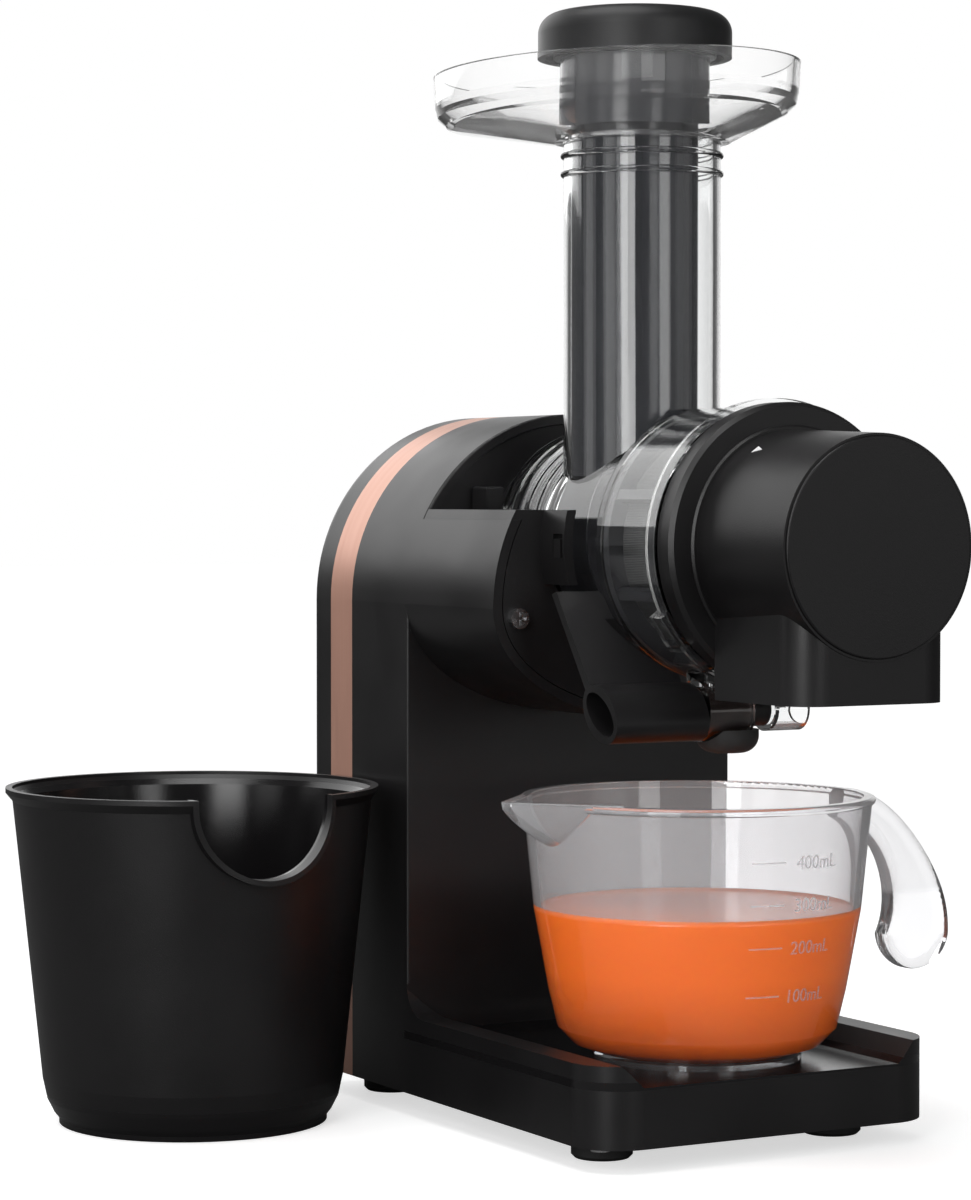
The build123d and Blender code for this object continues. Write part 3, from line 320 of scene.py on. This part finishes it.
def bin_inside_mask(nodes, links):
    """1 on the bin's inner wall and floor, by comparing the radius with the wall's middle."""
    low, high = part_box("pulp_bin")
    coords = put(nodes, "ShaderNodeTexCoord")
    split = put(nodes, "ShaderNodeSeparateXYZ")
    links.new(coords.outputs["Object"], split.inputs[0])
    x = math_node(nodes, links, "SUBTRACT", split.outputs["X"], (low[0] + high[0]) / 2)
    y = math_node(nodes, links, "SUBTRACT", split.outputs["Y"], (low[1] + high[1]) / 2)
    x_squared = math_node(nodes, links, "MULTIPLY", x, x)
    y_squared = math_node(nodes, links, "MULTIPLY", y, y)
    radius = math_node(nodes, links, "SQRT", math_node(nodes, links, "ADD", x_squared, y_squared))
    wall = ramp(nodes, links, split.outputs["Z"], low=0.0449, high=0.0540, start=0.014, end=0.0985)
    return math_node(nodes, links, "LESS_THAN", radius, wall)


BLACK = (0.0065, 0.006, 0.0065)
SHELL_BLACK = (0.0085, 0.008, 0.0085)
COPPER = (0.74, 0.41, 0.31)
SMOKE = (0.017, 0.0175, 0.020)
ROUND_DRUM = (0.03, 1, 0.03)    # brushing that runs round the drum's axis

MATERIALS = {
    "charcoal_shell": moulded_plastic("charcoal_shell", SHELL_BLACK, 0.34, gloss_mask=tray_floor_mask),
    "black_plastic": moulded_plastic("black_plastic", BLACK, 0.38, grain=0.00003),
    "copper_trim": brushed_metal("copper_trim", COPPER, 0.36, ROUND_DRUM, 0.000004, 0.0, 0.45),
    "clear_plastic": clear_plastic("clear_plastic", (0.985, 0.99, 0.99)),
    "grey_plastic": moulded_plastic("grey_plastic", SMOKE, 0.16, grain=0.0000012, spread=0.03),
    "auger_plastic": moulded_plastic("auger_plastic", (0.018, 0.018, 0.02), 0.30),
    "gear_plastic": moulded_plastic("gear_plastic", (0.78, 0.75, 0.68), 0.38),
    "steel": brushed_metal("steel", (0.66, 0.66, 0.67), 0.24, (1, 0.1, 1)),
    "lamination_steel": brushed_metal("lamination_steel", (0.30, 0.30, 0.32), 0.42, (0.1, 8, 0.1), 0.0001),
    "winding_copper": brushed_metal("winding_copper", (0.75, 0.33, 0.14), 0.3, (0.2, 3, 0.2), 0.0003),
    "rubber_black": rubber("rubber_black", (0.02, 0.02, 0.02)),
    "silicone": rubber("silicone", (0.72, 0.72, 0.70)),
    "board_green": circuit_board("board_green"),
}
BIN_PLASTIC = moulded_plastic("bin_plastic", BLACK, 0.38, grain=0.00003, gloss_mask=bin_inside_mask)
CAP_MATTE = moulded_plastic("cap_matte", (0.008, 0.008, 0.0085), 0.44, grain=0.00004)
# Above the juice the jug is made milkier as painted light, so that the dark column behind it shows less.
JUG_PLASTIC = clear_plastic("jug_plastic", (0.975, 0.973, 0.985), clarity=0.97, painted_light_veil=(0.0695, 0.85))
TRAY_PLASTIC = clear_plastic("tray_plastic", (0.985, 0.985, 0.985), clarity=0.97, ior=1.15)
# The valve seal's pinkish orange is a painted reflection of the juice, not the seal's own colour.
SEAL_JUICE_REFLECTION = clear_plastic("seal_painted_juice_reflection", (0.80, 0.62, 0.58), rough=0.12)
FROSTED = clear_plastic("frosted_plastic", (0.95, 0.95, 0.96), rough=0.25, clarity=0.84)
PRINT_WHITE = moulded_plastic("print_white", (0.80, 0.80, 0.80), 0.5)
STEEL_MESH = woven_steel("steel_mesh")
JUICE = juice_liquid("juice")
OWN = {"pulp_bin": BIN_PLASTIC, "strainer_mesh": STEEL_MESH, "pusher_cap": CAP_MATTE, "jug": JUG_PLASTIC,
       "hopper_tray": TRAY_PLASTIC, "valve_seal": SEAL_JUICE_REFLECTION}


def dress_cad_nodes():
    slots = {s["node"]: s["material_slot"] for s in frame["record"]["subparts"]}
    for node, obj in frame["nodes"].items():
        mat = OWN.get(node, MATERIALS[slots[node]])
        if not obj.material_slots:
            obj.data.materials.append(mat)
        for slot in obj.material_slots:
            slot.material = mat


dress_cad_nodes()


def coil_button_spring():
    """The button's spring as a piece of its own, on the base's body."""
    node = frame["nodes"]["button_spring"]
    coil = bpy.data.objects.new("button_spring_coil", node.data.copy())
    bpy.context.collection.objects.link(coil)
    coil.matrix_world = node.matrix_world
    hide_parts("button_spring")
    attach(coil, "base")
    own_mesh(coil)


coil_button_spring()


# ---------------------------------------------------------------- mesh helpers
def mesh_object(name, vertices, faces, material, body, smooth=True):
    """Makes a piece from vertices in mm from WORK, and gives it its body and material slot."""
    mesh = bpy.data.meshes.new(name)
    mesh.from_pydata([WORK + Vector(v) * MM for v in vertices], [], faces)
    mesh.materials.append(material)
    mesh.polygons.foreach_set("use_smooth", [smooth] * len(mesh.polygons))
    mesh.update()
    obj = bpy.data.objects.new(name, mesh)
    bpy.context.collection.objects.link(obj)
    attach(obj, body)
    return obj


def revolve_profile(profile, centre, steps=128):
    """Vertices and faces of an (r, z) profile turned about a vertical axis. Both ends lie on it."""
    vertices, faces = [], []
    inner = profile[1:-1]
    for r, z in inner:
        for k in range(steps):
            angle = 2 * math.pi * k / steps
            vertices.append((centre[0] + r * math.cos(angle), centre[1] + r * math.sin(angle), z))
    for row in range(len(inner) - 1):
        for k in range(steps):
            a, b = row * steps + k, row * steps + (k + 1) % steps
            faces.append((a, b, b + steps, a + steps))
    for end, row, flip in ((profile[0], 0, True), (profile[-1], len(inner) - 1, False)):
        vertices.append((centre[0], centre[1], end[1]))
        tip = len(vertices) - 1
        for k in range(steps):
            a, b = row * steps + k, row * steps + (k + 1) % steps
            faces.append((tip, b, a) if flip else (tip, a, b))
    return vertices, faces


# ---------------------------------------------------------------- juice
# The jug's axis, its inner and outer wall as (radius, height), and the juice's height, all in mm.
JUG_CENTRE = (0.0, -21.9)
JUG_INNER = ((34.4, 29.5), (39.4, 34.0), (42.0, 45.0), (46.4, 69.0), (49.8, 102.5))
JUG_OUTER = ((37.0, 29.2), (41.6, 34.0), (44.2, 45.0), (48.6, 69.0), (52.0, 102.5))
JUICE_LEVEL = 69.3
INTO_WALL = 0.08        # how far the juice reaches into the wall, so that no gap shows


def radius_at(profile, z):
    """The radius of a (radius, height) profile at a height."""
    for (r0, z0), (r1, z1) in zip(profile, profile[1:]):
        if z <= z1:
            return r0 + (r1 - r0) * (z - z0) / (z1 - z0)
    return profile[-1][0]


def pour_juice():
    """The juice fills the jug's inside to its level and creeps up the wall in a small meniscus."""
    wall = [(radius_at(JUG_INNER, z) + INTO_WALL, z) for z in (31.0, 34.0, 39.0, 45.0, 53.0, 61.0, 68.6)]
    top = radius_at(JUG_INNER, JUICE_LEVEL)
    rim = [(top + INTO_WALL, JUICE_LEVEL + 0.9), (top - 0.7, JUICE_LEVEL + 0.3), (top - 2.0, JUICE_LEVEL)]
    profile = [(0, 29.4), (20, 29.4), (34.4, 29.4), *wall, *rim, (30, JUICE_LEVEL), (0, JUICE_LEVEL)]
    vertices, faces = revolve_profile(profile, JUG_CENTRE)
    mesh_object("juice", vertices, faces, JUICE, "jug")


pour_juice()


# ---------------------------------------------------------------- graduations
def text_mesh(body, size):
    """Vertices (mm) and faces of a raised line of text that starts at the origin."""
    curve = bpy.data.curves.new("text", "FONT")
    curve.body = body
    curve.size = size
    curve.extrude = 0.12
    curve.resolution_u = 3
    obj = bpy.data.objects.new("text", curve)
    bpy.context.collection.objects.link(obj)
    mesh = bpy.data.meshes.new_from_object(obj.evaluated_get(bpy.context.evaluated_depsgraph_get()))
    bpy.data.objects.remove(obj)
    vertices = [tuple(v.co) for v in mesh.vertices]
    faces = [tuple(p.vertices) for p in mesh.polygons]
    bpy.data.meshes.remove(mesh)
    return vertices, faces


def on_jug(u, v, w, start, z0):
    """A point u along, v up and w out from the jug's wall, from the angle start at height z0."""
    z = z0 + v
    radius = radius_at(JUG_OUTER, z) + w
    angle = math.radians(start) + u / radius
    return (JUG_CENTRE[0] + radius * math.cos(angle), JUG_CENTRE[1] + radius * math.sin(angle), z)


def raised_bar(length, height, cells):
    """A flat bar in (u, v, w), cut into cells so that it bends round the wall."""
    vertices, faces = [], []
    for k in range(cells + 1):
        u = length * k / cells
        vertices += [(u, 0, -0.1), (u, height, -0.1), (u, height, 0.2), (u, 0, 0.2)]
    for k in range(cells):
        for side in range(4):
            a, b = 4 * k + side, 4 * k + (side + 1) % 4
            faces.append((a, b, b + 4, a + 4))
    last = 4 * cells
    return vertices, faces + [(3, 2, 1, 0), (last, last + 1, last + 2, last + 3)]


LINE_START = -104.3     # where each line and each label starts round the jug, in degrees
LABEL_START = -88.0


def graduate_jug():
    """Raised lines on the jug's wall, each with its volume beside it."""
    vertices, faces = [], []
    for volume, z in ((400, 86.6), (300, 74.3), (200, 61.8), (100, 47.6)):
        line = (LINE_START, raised_bar(10.5, 0.45, 10), 0.0)
        label = (LABEL_START, text_mesh(f"{volume}mL", 5.6), -1.9)
        for start, (points, sides), rise in (line, label):
            first = len(vertices)
            vertices += [on_jug(u, v + rise, w, start, z) for u, v, w in points]
            faces += [tuple(i + first for i in face) for face in sides]
    mesh_object("jug_graduations", vertices, faces, FROSTED, "jug", smooth=False)


graduate_jug()


# ---------------------------------------------------------------- cap mark
def mark_cap():
    """The white arrowhead printed on the cap's nose that lines up with the drum."""
    angle = math.radians(124)
    root = -72              # where the nose leaves the flange, and its radius there
    reach = 33.0
    taper = 0.0378
    vertices = []
    for y, side in ((-84.0, 0.0), (-80.5, -0.045), (-80.5, 0.045)):
        for lift in (-0.15, 0.12):
            radius = reach - (root - y) * taper + lift
            up = DRUM_HEIGHT + radius * math.sin(angle + side)
            vertices.append((radius * math.cos(angle + side), y, up))
    faces = [(0, 2, 4), (1, 5, 3), (0, 1, 3, 2), (2, 3, 5, 4), (4, 5, 1, 0)]
    mesh_object("cap_mark", vertices, faces, PRINT_WHITE, "cap", smooth=False)


mark_cap()


# ---------------------------------------------------------------- stage
FLOOR_GLOW = 0.62       # how bright the floor glows near the object; the backdrop's white is 1
FLOOR_GREY = 0.16       # the floor's colour in reflections
WORLD_DIM = 0.09        # the world's brightness in reflections


def floor_material():
    """White where it is seen directly, fading to the backdrop's white far off, and grey in reflections."""
    mat, nodes, links, shader = new_material("floor_white")
    coords = put(nodes, "ShaderNodeTexCoord")
    length = put(nodes, "ShaderNodeVectorMath", operation="LENGTH")
    links.new(coords.outputs["Object"], length.inputs[0])
    far = ramp(nodes, links, length.outputs["Value"], 0.0, 1.0, 0.35, 1.6)
    white = mix_colour(nodes, links, far, (0.80, 0.80, 0.80), (0.0, 0.0, 0.0))
    links.new(white, shader.inputs["Base Color"])
    shader.inputs["Roughness"].default_value = 0.6
    shader.inputs["Specular IOR Level"].default_value = 0.1
    glow = put(nodes, "ShaderNodeEmission")
    links.new(ramp(nodes, links, far, FLOOR_GLOW, 1.0), glow.inputs["Strength"])
    lit = put(nodes, "ShaderNodeAddShader")
    links.new(shader.outputs[0], lit.inputs[0])
    links.new(glow.outputs[0], lit.inputs[1])
    grey = put(nodes, "ShaderNodeBsdfDiffuse")
    grey.inputs["Color"].default_value = (FLOOR_GREY, FLOOR_GREY, FLOOR_GREY, 1)
    mixer = put(nodes, "ShaderNodeMixShader")
    links.new(seen_directly(nodes, links), mixer.inputs[0])
    links.new(grey.outputs[0], mixer.inputs[1])
    links.new(lit.outputs[0], mixer.inputs[2])
    links.new(mixer.outputs[0], nodes["Material Output"].inputs["Surface"])
    return mat


def add_floor():
    mesh = bpy.data.meshes.new("floor")
    mesh.from_pydata([(-8, -8, 0), (8, -8, 0), (8, 8, 0), (-8, 8, 0)], [], [(0, 1, 2, 3)])
    mesh.materials.append(floor_material())
    floor = bpy.data.objects.new("floor", mesh)
    bpy.context.collection.objects.link(floor)


def add_area(name, place, target, size, radiance):
    """A flat soft light at place that faces target. radiance is how bright its face looks."""
    data = bpy.data.lights.new(name, "AREA")
    data.shape = "RECTANGLE"
    data.size, data.size_y = size
    data.energy = radiance * math.pi * size[0] * size[1]
    obj = bpy.data.objects.new(name, data)
    obj.location = WORK + Vector(place)
    obj.rotation_euler = (Vector(target) - Vector(place)).to_track_quat("-Z", "Y").to_euler()
    obj.visible_camera = False
    bpy.context.collection.objects.link(obj)


def add_world():
    """White where it is seen directly or at a glancing angle, dim in the other reflections."""
    world = bpy.data.worlds.new("studio")
    world.use_nodes = True
    nodes, links = world.node_tree.nodes, world.node_tree.links
    mixer = put(nodes, "ShaderNodeMix", data_type="FLOAT")
    links.new(seen_directly(nodes, links), mixer.inputs["Factor"])
    coords = put(nodes, "ShaderNodeTexCoord")
    facing = put(nodes, "ShaderNodeVectorMath", operation="DOT_PRODUCT")
    links.new(coords.outputs["Generated"], facing.inputs[0])
    turn = math.radians(VIEW_TURN)
    facing.inputs[1].default_value = (math.sin(turn), math.cos(turn), 0)
    links.new(ramp(nodes, links, facing.outputs["Value"], WORLD_DIM, 1.0, 0.86, 0.96), mixer.inputs[2])
    mixer.inputs[3].default_value = 1.0
    links.new(mixer.outputs[0], nodes["Background"].inputs["Strength"])
    nodes["Background"].inputs["Color"].default_value = (1, 1, 1, 1)
    bpy.context.scene.world = world


def round_camera(angle, distance, height):
    """A place round the object, at that angle from the camera's side. A positive one is to the right."""
    turn = math.radians(angle - VIEW_TURN)
    return (math.sin(turn) * distance, -math.cos(turn) * distance, height)


MIDDLE = (0, 0, 0.18)
add_floor()
add_area("front_left", round_camera(-24, 1.9, 0.75), MIDDLE, (0.75, 1.5), 4.7)
add_area("front_right", round_camera(31, 1.9, 0.75), MIDDLE, (0.55, 1.4), 2.5)
add_area("front_soft", round_camera(-52, 1.8, 0.75), MIDDLE, (0.6, 1.4), 0.9)
add_area("side_left", round_camera(-88, 1.5, 0.6), MIDDLE, (0.5, 1.2), 0.6)
add_area("top_box", round_camera(-60, 0.35, 1.35), (0, 0, 0.1), (1.1, 0.8), 3.5)
add_area("backdrop", round_camera(-136, 1.6, 0.95), (0, 0, 0.35), (1.8, 1.1), 1.62)
add_area("side_right", round_camera(62, 1.7, 0.6), MIDDLE, (0.8, 1.2), 0.45)
add_world()
bpy.context.scene.view_settings.view_transform = "Standard"
